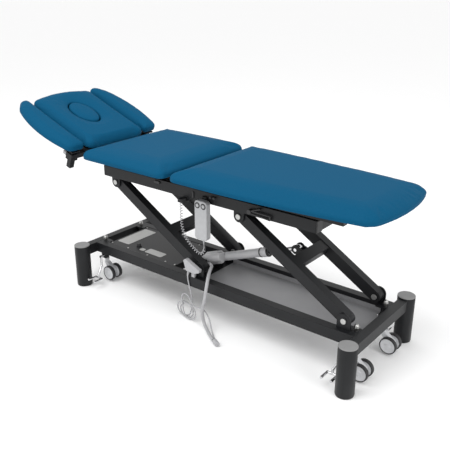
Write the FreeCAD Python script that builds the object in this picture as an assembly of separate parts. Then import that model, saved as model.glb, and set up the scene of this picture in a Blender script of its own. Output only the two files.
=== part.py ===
import FreeCAD, Part
import math
import os
from FreeCAD import Vector as V

# Height-adjustable examination table: a steel base frame on four posts with casters, a parallelogram
# lift driven by a linear actuator, and a three-section padded top with a face opening and armrests.
# Frame: origin on the floor under the middle of the four posts, +X to the foot end, +Y to the far
# side, +Z up. Millimetres. Built at the height and head tilt of everyday use.

# ---- driving dimensions -------------------------------------------------------------------------
POST_X = 750.0            # posts along the length
POST_Y = 254.0            # posts across
POST_R = 38.0
POST_TOP = 211.0
FLOOR_PAD = 4.0           # rubber glide under each post
BASE_LOW = 157.0          # base tube, bottom face
BASE_TOP = 207.0          # base tube, top face
RAIL_IN = 135.0           # inner face of every long rail, from the middle
RAIL_OUT = 175.0
WALL = 3.0
ARM_LENGTH = 600.0        # between the pivots of a lift arm
ARM_ANGLE = 31.0          # from the floor, at rest
ARM_IN = 105.0
ARM_OUT = 145.0
ARM_DEPTH = 50.0
LOW_PIVOT_Z = 243.0
HEAD_PIVOT_X = -67.0
FOOT_PIVOT_X = 672.0
LUG_IN = 147.0
LUG_OUT = 153.0
BOLT_R = 8.0
TOP_LOW = 582.0           # top frame rails
TOP_HIGH = 632.0
TOP_HEAD_X = -630.0
TOP_FOOT_X = 540.0
PAD_LOW = 678.0
PAD_HIGH = 740.0
PAD_HALF = 300.0
PAD_EDGE = 26.0           # rounding of the upholstery's edges
MID_HEAD_X = -668.0
MID_FOOT_X = -138.0
LEG_HEAD_X = -122.0
LEG_FOOT_X = 838.0
LEG_HINGE = V(-45.0, 0, 668.0)
HEAD_HINGE = V(-735.0, 0, 650.0)
HEAD_TILT = 20.5          # head section above level, at rest
HEAD_RISE = 90.0          # head pad's top above its hinge, square to the pad
HEAD_START = -3.7         # where the head section's own length scale starts, from the hinge
HEAD_THICK = 52.0
HEAD_BAR_TOP = -53.0      # the head frame hangs below the pad, measured down from its top
CASTER_X = 716.0
CASTER_Y = 126.0
CASTER_TRAIL = 38.0
WHEEL_R = 37.5
WHEEL_W = 20.0
WHEEL_GAP = 3.0           # the raised wheels clear the floor by this
WHEEL_Y = 22.5            # each of the twin wheels from the caster's middle
PEDAL_SHAFT_X = 690.0
PEDAL_SHAFT_Z = 143.0
NUT_LOW = 215.5           # domed nut of each caster stem, clear of its guide when it is down
PEDAL_LOW_Z = 42.0
TRAY_TONGUE = 100.0       # half width of the tray between the foot casters
PIN_PLAY = 0.05           # radial running clearance
OPEN_PLAY = 1.0           # radial clearance at the pivot where the parallelogram is opened
HANDSET_X = -2.5
HANDSET_W = 67.0
HANDSET_LOW = 422.0
HANDSET_TOP = 600.0
HANDSET_FRONT = -209.0
HANDSET_BACK = -183.0

BUTTON_Z = 578.0
BUTTON_X = (HANDSET_X - 16.0, HANDSET_X + 16.0)

HEAD_HIGH_X = HEAD_PIVOT_X - ARM_LENGTH * math.cos(math.radians(ARM_ANGLE))
FOOT_HIGH_X = FOOT_PIVOT_X - ARM_LENGTH * math.cos(math.radians(ARM_ANGLE))
HIGH_PIVOT_Z = LOW_PIVOT_Z + ARM_LENGTH * math.sin(math.radians(ARM_ANGLE))
CROSS_X = FOOT_PIVOT_X - 0.5 * ARM_LENGTH * math.cos(math.radians(ARM_ANGLE))
CROSS_Z = LOW_PIVOT_Z + 0.5 * ARM_LENGTH * math.sin(math.radians(ARM_ANGLE))
ACTUATOR_PIN = V(358.0, 0, 412.0)     # rod end, on the foot-end arms
ACTUATOR_REAR = V(-165.0, 0, 213.0)   # rear eye, in the base's yoke
LEG_SPRING_FRAME = V(-300.0, 0, 560.0)
LEG_SPRING_LEG = V(60.0, 0, 575.0)
HEAD_SPRING_FRAME = V(-410.0, 0, 612.0)
SPRING_TUBE_HEAD = -370.0             # cross tube that carries both gas springs
SPRING_TUBE_FOOT = -340.0
HEAD_CROSS = 0.39                     # place of the head set's cross tube along its arms

Y_AXIS = V(0, 1, 0)
SIDES = (("near", -1), ("far", 1))
ENDS = (("head", -1), ("foot", 1))


# ---- helpers ------------------------------------------------------------------------------------
def save(node, *solids):
    """Writes one node, as one solid or as a group of separate ones."""
    shape = solids[0] if len(solids) == 1 else Part.Compound(list(solids))
    shape.exportStep("parts/" + node + ".step")


def block(x0, x1, y0, y1, z0, z1):
    low = V(min(x0, x1), min(y0, y1), min(z0, z1))
    return Part.makeBox(abs(x1 - x0), abs(y1 - y0), abs(z1 - z0), low)


def rod(start, end, radius):
    along = end - start
    return Part.makeCylinder(radius, along.Length, start, along)


def pin_y(x, z, y0, y1, radius):
    return rod(V(x, min(y0, y1), z), V(x, max(y0, y1), z), radius)


def joined(first, *rest):
    return first.fuse(list(rest)).removeSplitter()


def tube_x(x0, x1, y0, y1, z0, z1):
    """Rectangular steel tube along X, open at its ends."""
    inner = block(x0 - 1, x1 + 1, min(y0, y1) + WALL, max(y0, y1) - WALL, z0 + WALL, z1 - WALL)
    return block(x0, x1, y0, y1, z0, z1).cut(inner)


def tube_y(y0, y1, x0, x1, z0, z1):
    inner = block(min(x0, x1) + WALL, max(x0, x1) - WALL, y0 - 1, y1 + 1, z0 + WALL, z1 - WALL)
    return block(x0, x1, y0, y1, z0, z1).cut(inner)


def mirrored(shape):
    """The same piece on the other side of the table."""
    return shape.mirror(V(0, 0, 0), Y_AXIS)


def turned(shape, centre, degrees):
    """Turned about Y, so that the head end of the shape goes up for a positive angle."""
    moved = shape.copy()
    moved.rotate(centre, Y_AXIS, degrees)
    return moved


def rounded(shape, radius, pick):
    edges = [edge for edge in shape.Edges if pick(edge)]
    return shape.makeFillet(radius, edges)


def is_upright(edge):
    ends = edge.Vertexes
    if len(ends) != 2:
        return False
    gap = ends[1].Point - ends[0].Point
    return abs(gap.x) < 0.01 and abs(gap.y) < 0.01 and abs(gap.z) > 1.0


def runs_across(edge):
    first = edge.Vertexes[0].Point
    last = edge.Vertexes[-1].Point
    return abs(first.x - last.x) < 0.01 and abs(first.z - last.z) < 0.01


def lies_at(z):
    return lambda edge: all(abs(v.Point.z - z) < 0.01 for v in edge.Vertexes)


def pad(outline, low, high, corner, edge):
    """Upholstered board: an outline with rounded corners, and soft edges all round."""
    slab = Part.Face(outline).extrude(V(0, 0, high - low))
    slab.translate(V(0, 0, low))
    slab = rounded(slab, corner, is_upright)
    return rounded(slab, edge, lambda e: lies_at(low)(e) or lies_at(high)(e))


def polygon_wire(points):
    return Part.makePolygon(points + [points[0]])


def plate_xz(points, y0, y1):
    """Flat plate standing in the XZ plane, from its corner points (x, z)."""
    face = Part.Face(polygon_wire([V(x, min(y0, y1), z) for x, z in points]))
    return face.extrude(V(0, abs(y1 - y0), 0))


def arc(a, b, c):
    return Part.Arc(a, b, c).toShape()


def line(a, b):
    return Part.LineSegment(a, b).toShape()


def cord_tube(name, points, radius):
    """Cord along straight runs and the largest arcs that its runs allow."""
    arcs = []
    for i in range(1, len(points) - 1):
        back = points[i - 1] - points[i]
        ahead = points[i + 1] - points[i]
        half_turn = (math.pi - back.getAngle(ahead)) / 2
        reach = 0.45 * min(back.Length, ahead.Length)
        size = reach / math.tan(half_turn)
        back.normalize()
        ahead.normalize()
        start = points[i] + back * reach
        end = points[i] + ahead * reach
        inward = back + ahead
        inward.normalize()
        middle = points[i] + inward * (size / math.cos(half_turn) - size)
        arcs.append((start, middle, end, size))
    edges = []
    last = points[0]
    for start, middle, end, size in arcs:
        edges.append(line(last, start))
        edges.append(arc(start, middle, end))
        last = end
    edges.append(line(last, points[-1]))
    path = Part.Wire(edges)
    first = points[1] - points[0]
    ring = Part.Wire(Part.Circle(points[0], first, radius).toShape())
    tube = path.makePipeShell([ring], True, True)
    expected = math.pi * radius ** 2 * path.Length
    print(name, "length %.0f" % path.Length, "radii", " ".join("%.0f" % a[3] for a in arcs))
    print(name, "volume over section x length: %.4f" % (tube.Volume / expected))
    return tube


# ---- base ---------------------------------------------------------------------------------------
def base_side_rails():
    ends = CASTER_X + 14
    rail = tube_x(-ends, ends, -RAIL_OUT, -RAIL_IN, BASE_LOW, BASE_TOP)
    return rail, mirrored(rail)


def base_end_beams():
    half = POST_Y - POST_R + 8
    beams = []
    for _, way in ENDS:
        beam = tube_y(-half, half, way * 730.0, way * 770.0, BASE_LOW, BASE_TOP)
        for side in (-1, 1):
            x = way * POST_X
            y = side * POST_Y
            beam = beam.cut(rod(V(x, y, 0), V(x, y, 300), POST_R))
        beams.append(beam)
    return beams


def at_posts(build):
    return [build(x * POST_X, y * POST_Y) for _, x in ENDS for _, y in SIDES]


def corner_posts():
    def post(x, y):
        return rod(V(x, y, FLOOR_PAD), V(x, y, POST_TOP), POST_R).cut(
            rod(V(x, y, FLOOR_PAD - 1), V(x, y, POST_TOP + 1), POST_R - WALL))
    return at_posts(post)


def post_caps():
    def cap(x, y):
        top = rod(V(x, y, POST_TOP), V(x, y, POST_TOP + 4), POST_R)
        top = top.makeFillet(1.5, [e for e in top.Edges if lies_at(POST_TOP + 4)(e)])
        return joined(top, rod(V(x, y, POST_TOP - 16), V(x, y, POST_TOP), POST_R - WALL))
    return at_posts(cap)


def post_glides():
    def glide(x, y):
        foot = rod(V(x, y, 0), V(x, y, FLOOR_PAD), POST_R - 1)
        return joined(foot, rod(V(x, y, FLOOR_PAD), V(x, y, FLOOR_PAD + 12), POST_R - WALL))
    return at_posts(glide)


def rounded_plate(x, z, reach, half, y0, y1):
    """Ear with a round end about (x, z) that runs to the tube face at height reach."""
    ear = plate_xz([(x - half, z), (x + half, z), (x + half, reach), (x - half, reach)], y0, y1)
    return joined(ear, pin_y(x, z, y0, y1, half))


def base_lugs():
    ears = []
    for x in (HEAD_PIVOT_X, FOOT_PIVOT_X):
        ear = rounded_plate(x, LOW_PIVOT_Z, BASE_TOP, 30.0, -LUG_OUT, -LUG_IN)
        ear = ear.cut(pin_y(x, LOW_PIVOT_Z, -LUG_OUT - 1, -LUG_IN + 1, BOLT_R))
        ears += [ear, mirrored(ear)]
    return ears


def actuator_yoke():
    """Cross channel between the rails, with two upright cheeks either side of the actuator's eye."""
    channel = block(-215, -95, -RAIL_IN, RAIL_IN, 157.5, 162)
    cheeks = [block(-205, -95, side * 60, side * 66, 162, 250) for side in (-1, 1)]
    return [channel] + cheeks


def pivot_bolts(pivots):
    bolts = []
    for x, z in pivots:
        bolt = pin_y(x, z, -LUG_OUT, -ARM_IN + 2, BOLT_R)
        head = pin_y(x, z, -LUG_OUT - 6, -LUG_OUT, BOLT_R + 4)
        collar = pin_y(x, z, -ARM_IN + 2, -ARM_IN + 8, BOLT_R + 4)
        bolt = joined(bolt, head, collar)
        bolts += [bolt, mirrored(bolt)]
    return bolts


def tray():
    """Folded steel tray that hangs between the rails: a floor, two side walls and a foot wall."""
    floor = block(-90, 692, -RAIL_IN, RAIL_IN, 165, 167)
    tongue = block(692, 722, -TRAY_TONGUE, TRAY_TONGUE, 165, 167)
    walls = [block(-90, 692, side * (RAIL_IN - 2), side * RAIL_IN, 167, 188) for side in (-1, 1)]
    foot_wall = block(720, 722, -TRAY_TONGUE, TRAY_TONGUE, 167, 188)
    return [floor, tongue, foot_wall] + walls


def controls_cover():
    """Folded sheet lid over the electronics, at the head end."""
    outer = block(-676, -232, -RAIL_IN, RAIL_IN, 168, 205)
    return outer.cut(block(-674, -234, -RAIL_IN + 2, RAIL_IN - 2, 160, 203))


def control_box():
    case = block(-640, -330, -95, 95, 162, 198)
    return rounded(case, 6, is_upright)


def caster_guides():
    """Corner plates with the casters' guide sleeves, and the bearings of the two pedal shafts."""
    pieces = []
    for _, end in ENDS:
        for _, side in SIDES:
            x = end * CASTER_X
            y = side * CASTER_Y
            sleeve = rod(V(x, y, 156), V(x, y, 207), 14)
            plate = block(end * 680, end * 730, side * 105, side * 135, 200, 207)
            guide = joined(plate, sleeve).cut(rod(V(x, y, 100), V(x, y, 300), 8 + PIN_PLAY))
            guide = guide.cut(block(end * 650, end * 760, side * 135, side * 180, 150, 210))
            bearing = block(end * 676, end * 704, side * 148, side * 170, 130, BASE_LOW)
            bearing = bearing.cut(pin_y(end * PEDAL_SHAFT_X, PEDAL_SHAFT_Z, -300, 300, 6 + PIN_PLAY))
            pieces += [guide, bearing]
    return pieces


def cable_box():
    """Wedge-shaped mains inlet housing on a foot, above the near rail."""
    outline = [(-134, 280), (-121, 290), (-40, 254), (-42, 241), (-68, 230), (-118, 232)]
    case = plate_xz(outline, -181, -161)
    case = rounded(case, 3, runs_across)
    foot = block(-92, -74, -174, -161, BASE_TOP, 240)
    return joined(case, foot)


# ---- lift ---------------------------------------------------------------------------------------
def arm(x, upper_play):
    """Rectangular tube with rounded ends, drilled for its two pivots; laid level, then turned up."""
    half = ARM_DEPTH / 2
    far_x = x - ARM_LENGTH
    z = LOW_PIVOT_Z
    bar = block(far_x, x, -ARM_OUT, -ARM_IN, z - half, z + half)
    bar = joined(bar, pin_y(x, z, -ARM_OUT, -ARM_IN, half), pin_y(far_x, z, -ARM_OUT, -ARM_IN, half))
    low = z - half + WALL
    bar = bar.cut(block(far_x + 40, x - 40, -ARM_OUT + WALL, -ARM_IN - WALL, low, z + half - WALL))
    bar = bar.cut(pin_y(x, z, -ARM_OUT - 1, -ARM_IN + 1, BOLT_R + PIN_PLAY))
    bar = bar.cut(pin_y(far_x, z, -ARM_OUT - 1, -ARM_IN + 1, BOLT_R + upper_play))
    bar = turned(bar, V(x, 0, z), ARM_ANGLE)
    return bar, mirrored(bar)


def lift_cross_tube(x, share):
    """Square tube between the two arms of a set, at a share of their length from the base."""
    mid_x = x - ARM_LENGTH * share
    tube = tube_y(-ARM_IN, ARM_IN, mid_x - 25, mid_x + 25, LOW_PIVOT_Z - 22, LOW_PIVOT_Z + 22)
    return turned(tube, V(x, 0, LOW_PIVOT_Z), ARM_ANGLE)


def clevis():
    """Two rounded cheeks that carry the rod-end pin, on the foot-end cross tube."""
    cheeks = []
    pin = ACTUATOR_PIN
    tube = block(CROSS_X - 25, CROSS_X + 25, -60, 60, CROSS_Z - 22, CROSS_Z + 22)
    tube = turned(tube, V(CROSS_X, 0, CROSS_Z), ARM_ANGLE)
    for side in (-1, 1):
        y0 = side * 14
        y1 = side * 22
        outline = [(pin.x - 6, pin.z + 19), (pin.x + 6, pin.z - 19)]
        outline += [(CROSS_X, CROSS_Z - 12), (CROSS_X, CROSS_Z + 12)]
        cheek = plate_xz(outline, y0, y1)
        cheek = joined(cheek, pin_y(pin.x, pin.z, y0, y1, 20))
        cheek = cheek.cut(tube).cut(pin_y(pin.x, pin.z, y0 - 9, y1 + 9, 7 + PIN_PLAY))
        cheeks.append(cheek)
    return cheeks


def along_actuator(distance):
    way = ACTUATOR_PIN - ACTUATOR_REAR
    way.normalize()
    return ACTUATOR_REAR + way * distance


def actuator_housing():
    body = rod(along_actuator(20), along_actuator(384), 20)
    collar = rod(along_actuator(374), along_actuator(402), 23)
    eye = pin_y(ACTUATOR_REAR.x, ACTUATOR_REAR.z, -24, 24, 14)
    neck = rod(along_actuator(4), along_actuator(36), 11)
    gearbox = rod(along_actuator(34), along_actuator(112), 31)
    motor = rod(along_actuator(40) + V(0, -34, 8), along_actuator(150) + V(0, -34, 8), 21)
    shell = joined(body, collar, neck, gearbox, motor, eye)
    return shell.cut(rod(along_actuator(80), along_actuator(420), 11 + PIN_PLAY))


def actuator_rod():
    stem = rod(along_actuator(190), ACTUATOR_PIN, 11)
    eye = pin_y(ACTUATOR_PIN.x, ACTUATOR_PIN.z, -12, 12, 17)
    pin = pin_y(ACTUATOR_PIN.x, ACTUATOR_PIN.z, -25, 25, 7)
    return joined(stem, eye, pin)


# ---- casters ------------------------------------------------------------------------------------
def wheel_centre(way, side):
    return V(way * CASTER_X + CASTER_TRAIL, side * CASTER_Y, WHEEL_R + WHEEL_GAP)


def caster_carriage(way):
    """Cross bar with two stems: it slides down to lift the posts off the floor."""
    x = way * CASTER_X
    bar = block(x - 10, x + 10, -CASTER_Y, CASTER_Y, 126, 148)
    stems = []
    for side in (-1, 1):
        y = side * CASTER_Y
        collar = rod(V(x, y, 108), V(x, y, 150), 12)
        stem = rod(V(x, y, 150), V(x, y, NUT_LOW), 8)
        nut = rod(V(x, y, NUT_LOW), V(x, y, NUT_LOW + 8), 11)
        stems.append(joined(collar, stem, nut))
        bar = bar.cut(collar)
    return [bar] + stems


def caster_fork(way, side):
    """Swivel neck between the twin wheels, with the axle hub at its lower end."""
    hub = wheel_centre(way, side)
    x = way * CASTER_X
    y = hub.y
    half = WHEEL_Y - WHEEL_W / 2 - 1.5
    neck = rod(V(x, y, 84), V(x, y, 107.5), 11)
    outline = [(x - 10, 90), (x + 10, 90), (hub.x + 20, hub.z + 14)]
    outline += [(hub.x + 6, hub.z - 12), (hub.x - 14, hub.z - 6)]
    web = plate_xz(outline, y - half, y + half)
    boss = pin_y(hub.x, hub.z, y - half, y + half, 15)
    return joined(neck, web, boss).cut(pin_y(hub.x, hub.z, y - 30, y + 30, 5 + PIN_PLAY))


def caster_wheels(way, side):
    """Twin wheels with their axle: a hub disc inside a tyre on each side."""
    hub = wheel_centre(way, side)
    solids = [pin_y(hub.x, hub.z, hub.y - WHEEL_Y, hub.y + WHEEL_Y, 5)]
    for face in (-1, 1):
        inner = hub.y + face * (WHEEL_Y - WHEEL_W / 2)
        outer = hub.y + face * (WHEEL_Y + WHEEL_W / 2)
        disc = pin_y(hub.x, hub.z, inner, outer, 30)
        disc = disc.cut(pin_y(hub.x, hub.z, hub.y - WHEEL_Y, hub.y + WHEEL_Y, 5))
        tyre = pin_y(hub.x, hub.z, inner, outer, WHEEL_R).cut(pin_y(hub.x, hub.z, inner, outer, 30))
        tyre = tyre.makeFillet(4, [e for e in tyre.Edges if e.Closed and e.Length > 6.2 * WHEEL_R])
        solids += [disc, tyre]
    return solids


def bent_rod(points, radius):
    """Round bar along straight runs, with a ball at every bend."""
    runs = [rod(a, b, radius) for a, b in zip(points, points[1:])]
    bends = [Part.makeSphere(radius, point) for point in points[1:-1]]
    return joined(*(runs + bends))


def caster_pedals(way):
    """Shaft across the base with a bent drop link and a two-pronged foot pedal at each end."""
    x = way * PEDAL_SHAFT_X
    fork_x = way * (PEDAL_SHAFT_X - 14)
    shaft = pin_y(x, PEDAL_SHAFT_Z, -194, 194, 6)
    solids = [shaft]
    for side in (-1, 1):
        inner = side * 188
        outer = side * 222
        link = bent_rod([V(x, inner, PEDAL_SHAFT_Z), V(x, inner, 96), V(fork_x, outer, 60),
                         V(fork_x, outer, PEDAL_LOW_Z)], 5.5)
        prongs = bent_rod([V(fork_x - 22, side * 272, PEDAL_LOW_Z), V(fork_x - 22, outer, PEDAL_LOW_Z),
                           V(fork_x + 22, outer, PEDAL_LOW_Z), V(fork_x + 22, side * 272, PEDAL_LOW_Z)], 5.5)
        solids.append(joined(link, prongs).cut(shaft))
    return solids


# ---- top frame ----------------------------------------------------------------------------------
def top_side_rails():
    rail = tube_x(TOP_HEAD_X, TOP_FOOT_X, -RAIL_OUT, -RAIL_IN, TOP_LOW, TOP_HIGH)
    return rail, mirrored(rail)


def spring_lugs(x, z, reach, y_half=7.0, thick=5.0):
    """Pair of cheeks from a cross tube's face at x = reach to a gas spring's eye at (x, z)."""
    cheeks = []
    for side in (-1, 1):
        y0 = side * y_half
        y1 = side * (y_half + thick)
        root_low = max(z - 10, TOP_LOW + 10)
        root_high = max(z + 10, TOP_HIGH - 10)
        cheek = plate_xz([(x, z - 10), (reach, root_low), (reach, root_high), (x, z + 10)], y0, y1)
        cheek = joined(cheek, pin_y(x, z, y0, y1, 10))
        cheeks.append(cheek)
    return cheeks


def top_cross_members():
    """Cross tubes and a flat bar between the rails, with the brackets of both section hinges."""
    head = block(-560, -520, -RAIL_IN, RAIL_IN, TOP_LOW, TOP_LOW + 6)
    foot = tube_y(-RAIL_IN, RAIL_IN, TOP_FOOT_X - 40, TOP_FOOT_X, TOP_LOW, TOP_HIGH)
    hx = HEAD_HINGE.x
    hz = HEAD_HINGE.z
    lx = LEG_HINGE.x
    lz = LEG_HINGE.z
    brackets = []
    for side in (-1, 1):
        outline = [(-560, TOP_LOW + 14), (-560, TOP_HIGH - 4), (TOP_HEAD_X, TOP_HIGH), (hx, hz + 11),
                   (hx, hz - 11), (TOP_HEAD_X, TOP_LOW + 14)]
        plate = plate_xz(outline, side * 127, side * RAIL_IN)
        plate = joined(plate, pin_y(hx, hz, side * 127, side * RAIL_IN, 11))
        brackets.append(plate.cut(pin_y(hx, hz, side * 120, side * 140, 6)))
        brackets.append(block(lx - 20, lx + 20, side * 118, side * RAIL_IN, TOP_LOW, TOP_LOW + 16))
        post = block(lx - 9, lx + 9, side * 118, side * 126, TOP_LOW + 16, lz)
        post = joined(post, pin_y(lx, lz, side * 118, side * 126, 9))
        brackets.append(post.cut(pin_y(lx, lz, side * 117, side * 127, 6)))
    springs = tube_y(-RAIL_IN, RAIL_IN, SPRING_TUBE_HEAD, SPRING_TUBE_FOOT, TOP_LOW + 5, TOP_HIGH - 5)
    for eye, face in ((HEAD_SPRING_FRAME, SPRING_TUBE_HEAD), (LEG_SPRING_FRAME, SPRING_TUBE_FOOT)):
        for cheek in spring_lugs(eye.x, eye.z, face):
            springs = joined(springs, cheek.cut(pin_y(eye.x, eye.z, -20, 20, 4 + PIN_PLAY)))
    return [head, foot, springs] + brackets


def pad_rests():
    """Blocks between the top rails and the fixed seat pad."""
    blocks = []
    for side in (-1, 1):
        for x in (-560, -282):
            blocks.append(block(x - 17, x + 17, side * 140, side * 170, TOP_HIGH, PAD_LOW))
    return blocks


def top_lugs():
    ears = []
    for x in (HEAD_HIGH_X, FOOT_HIGH_X):
        ear = rounded_plate(x, HIGH_PIVOT_Z, TOP_LOW, 26.0, -LUG_OUT, -LUG_IN)
        ear = ear.cut(pin_y(x, HIGH_PIVOT_Z, -LUG_OUT - 1, -LUG_IN + 1, BOLT_R))
        ears += [ear, mirrored(ear)]
    return ears


def section_pins():
    """Headed pins of the two section hinges, each fixed in the top frame's bracket."""
    pins = []
    hx = HEAD_HINGE.x
    hz = HEAD_HINGE.z
    lx = LEG_HINGE.x
    lz = LEG_HINGE.z
    head = joined(pin_y(hx, hz, -137, -112, 6), pin_y(hx, hz, -112, -108, 9))
    leg = joined(pin_y(lx, lz, -142, -116, 6), pin_y(lx, lz, -116, -112, 8))
    for pin in (head, leg):
        pins += [pin, mirrored(pin)]
    return pins


def mid_pad():
    corners = [V(MID_HEAD_X, -PAD_HALF, 0), V(MID_FOOT_X, -PAD_HALF, 0), V(MID_FOOT_X, PAD_HALF, 0),
               V(MID_HEAD_X, PAD_HALF, 0)]
    return pad(polygon_wire(corners), PAD_LOW, PAD_HIGH, 42, PAD_EDGE)


def handset():
    x0 = HANDSET_X - HANDSET_W / 2
    case = block(x0, x0 + HANDSET_W, HANDSET_FRONT, HANDSET_BACK, HANDSET_LOW, HANDSET_TOP)
    case = rounded(case, 16, runs_across)
    case = rounded(case, 4, lambda e: all(abs(v.Point.y - HANDSET_FRONT) < 0.01 for v in e.Vertexes))
    for x in BUTTON_X:
        case = case.cut(rod(V(x, HANDSET_FRONT - 1, BUTTON_Z), V(x, HANDSET_FRONT + 8, BUTTON_Z), 8.2))
    return case


def button(x):
    front = HANDSET_FRONT - 2
    cap = rod(V(x, front, BUTTON_Z), V(x, front + 6.5, BUTTON_Z), 7.8)
    return rounded(cap, 1, lambda e: all(abs(v.Point.y - front) < 0.01 for v in e.Vertexes))


def handset_hook():
    """Bent strip on the near rail that carries the handset's back."""
    x0 = HANDSET_X - 12
    x1 = HANDSET_X + 12
    strip = block(x0, x1, HANDSET_BACK, -RAIL_OUT, TOP_LOW + 3, 612)
    return joined(strip, block(x0, x1, HANDSET_BACK, HANDSET_BACK + 3, 560, TOP_LOW + 5))


def handset_cord():
    route = [V(*p) for p in HANDSET_CORD]
    lead = cord_tube("handset lead", route[:4], 2.5)
    curl = cord_tube("handset curl", route[3:], 7.0)
    return joined(lead, curl)


HANDSET_CORD = [
    (3, -196, 422), (4, -196, 402), (5, -196, 384), (4, -196, 366),
    (-8, -196, 352), (-28, -196, 350), (-45, -196, 360), (-66, -196, 374), (-88, -196, 392),
    (-105, -196, 414), (-117, -196, 442), (-123, -196, 474), (-122, -196, 508), (-123, -196, 540),
    (-122, -196, 566),
]


def cord_gland():
    """Gusset below the near rail, with the clip where the curly cord goes in."""
    gusset = plate_xz([(-150, TOP_LOW), (-95, TOP_LOW), (-106, 560), (-138, 560)], -166, -160)
    return joined(gusset, block(-134, -110, -206, -153, 566, TOP_LOW))


# ---- leg section --------------------------------------------------------------------------------
def leg_frame():
    """Two long bars under the pad with two cross bars, the hinge lugs and the gas spring's tabs."""
    x = LEG_HINGE.x
    z = LEG_HINGE.z
    bars = []
    for side in (-1, 1):
        bar = block(x - 12, 652, side * 143, side * 172, 637, 660)
        lug = block(x - 9, x + 40, side * 129, side * 143, 642, z)
        lug = joined(lug, pin_y(x, z, side * 129, side * 143, 9))
        lug = lug.cut(pin_y(x, z, side * 128, side * 146, 6 + PIN_PLAY))
        bar = bar.cut(pin_y(x, z, side * 128, side * 146, 7))
        bars.append(joined(bar, lug))
        for rest in (40, 320, 600):
            bars.append(block(rest - 20, rest + 20, side * 143, side * 172, 660, PAD_LOW))
    cross = [block(c, c + 24, -143, 143, 640, 660) for c in (46, 606)]
    tabs = []
    for side in (-1, 1):
        eye = LEG_SPRING_LEG
        outline = [(eye.x - 10, eye.z), (eye.x + 10, eye.z), (68, 640), (48, 640)]
        tab = plate_xz(outline, side * 8, side * 13)
        tab = joined(tab, pin_y(eye.x, eye.z, side * 8, side * 13, 10))
        tabs.append(tab)
    return bars + cross + tabs


def leg_pad():
    """Long pad: straight near the hinge, then narrowing in two long curves to a bowed foot end."""
    x0 = LEG_HEAD_X
    half = PAD_HALF
    knee = 150.0
    tip = 774.0
    tip_half = 246.0
    corner = 810.0
    corner_half = 212.0
    wire = Part.Wire([
        line(V(x0, half, 0), V(x0, -half, 0)),
        line(V(x0, -half, 0), V(knee, -half, 0)),
        arc(V(knee, -half, 0), V(430, -287, 0), V(tip, -tip_half, 0)),
        line(V(tip, -tip_half, 0), V(corner, -corner_half, 0)),
        arc(V(corner, -corner_half, 0), V(LEG_FOOT_X, 0, 0), V(corner, corner_half, 0)),
        line(V(corner, corner_half, 0), V(tip, tip_half, 0)),
        arc(V(tip, tip_half, 0), V(430, 287, 0), V(knee, half, 0)),
        line(V(knee, half, 0), V(x0, half, 0)),
    ])
    slab = Part.Face(wire).extrude(V(0, 0, PAD_HIGH - PAD_LOW))
    slab.translate(V(0, 0, PAD_LOW))
    slab = rounded(slab, 42, lambda e: is_upright(e) and e.Vertexes[0].Point.x < x0 + 1)
    return rounded(slab, PAD_EDGE, lambda e: lies_at(PAD_LOW)(e) or lies_at(PAD_HIGH)(e))


def spring_body(frame_eye, far_eye, length, radius):
    way = far_eye - frame_eye
    way.normalize()
    barrel = rod(frame_eye + way * 24, frame_eye + way * length, radius)
    neck = rod(frame_eye, frame_eye + way * 26, 5.5)
    eye = pin_y(frame_eye.x, frame_eye.z, -6.5, 6.5, 9)
    pin = pin_y(frame_eye.x, frame_eye.z, -14, 14, 4)
    bore = rod(frame_eye + way * 30, frame_eye + way * (length + 5), 4.5 + PIN_PLAY)
    return joined(barrel, neck, eye, pin).cut(bore)


def spring_rod(frame_eye, far_eye, start):
    way = far_eye - frame_eye
    way.normalize()
    return joined(rod(frame_eye + way * start, far_eye, 4.5), pin_y(far_eye.x, far_eye.z, -6, 6, 8))


def leg_release_lever():
    """Loop handle of bent rod on the near rail, with its short link."""
    y = -184.0
    hub = pin_y(236, 601, -RAIL_OUT - 1, -190, 10)
    lower = rod(V(236, y, 596), V(336, y, 588), 3.5)
    upper = rod(V(236, y, 606), V(336, y, 604), 3.5)
    end = rod(V(336, y, 588), V(336, y, 604), 3.5)
    corners = [Part.makeSphere(3.5, V(336, y, z)) for z in (588, 604)]
    link = rod(V(236, y, 604), V(290, y, 624), 4)
    return joined(hub, lower, upper, end, link, *corners)


# ---- head section -------------------------------------------------------------------------------
def head_place(shape):
    """From the head section's own level frame (x = -s, z = up from the pad's top) into the table."""
    moved = shape.copy()
    moved.translate(V(HEAD_HINGE.x - HEAD_START, 0, HEAD_HINGE.z + HEAD_RISE))
    return turned(moved, HEAD_HINGE, HEAD_TILT)


def head_block(s0, s1, y0, y1, n0, n1):
    return block(-s1, -s0, y0, y1, n0, n1)


def face_oval(grow):
    """Oval of the face opening, as a wire at the pad's top."""
    oval = Part.Ellipse(V(-272, 0, 0), 100 + grow, 66 + grow)
    return Part.Wire(oval.toShape())


def head_pad():
    wire = Part.Wire([
        line(V(-5, 188, 0), V(-5, -188, 0)),
        line(V(-5, -188, 0), V(-455, -188, 0)),
        arc(V(-455, -188, 0), V(-490, 0, 0), V(-455, 188, 0)),
        line(V(-455, 188, 0), V(-5, 188, 0)),
    ])
    slab = pad(wire, -HEAD_THICK, 0, 40, 18)
    hole = Part.Face(face_oval(0)).extrude(V(0, 0, HEAD_THICK + 20))
    hole.translate(V(0, 0, -HEAD_THICK - 10))
    return head_place(slab.cut(hole))


def face_plug():
    plug = Part.Face(face_oval(-1.5)).extrude(V(0, 0, HEAD_THICK - 4))
    plug.translate(V(0, 0, -HEAD_THICK))
    plug = rounded(plug, 10, lies_at(-4))
    return head_place(plug)


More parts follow.
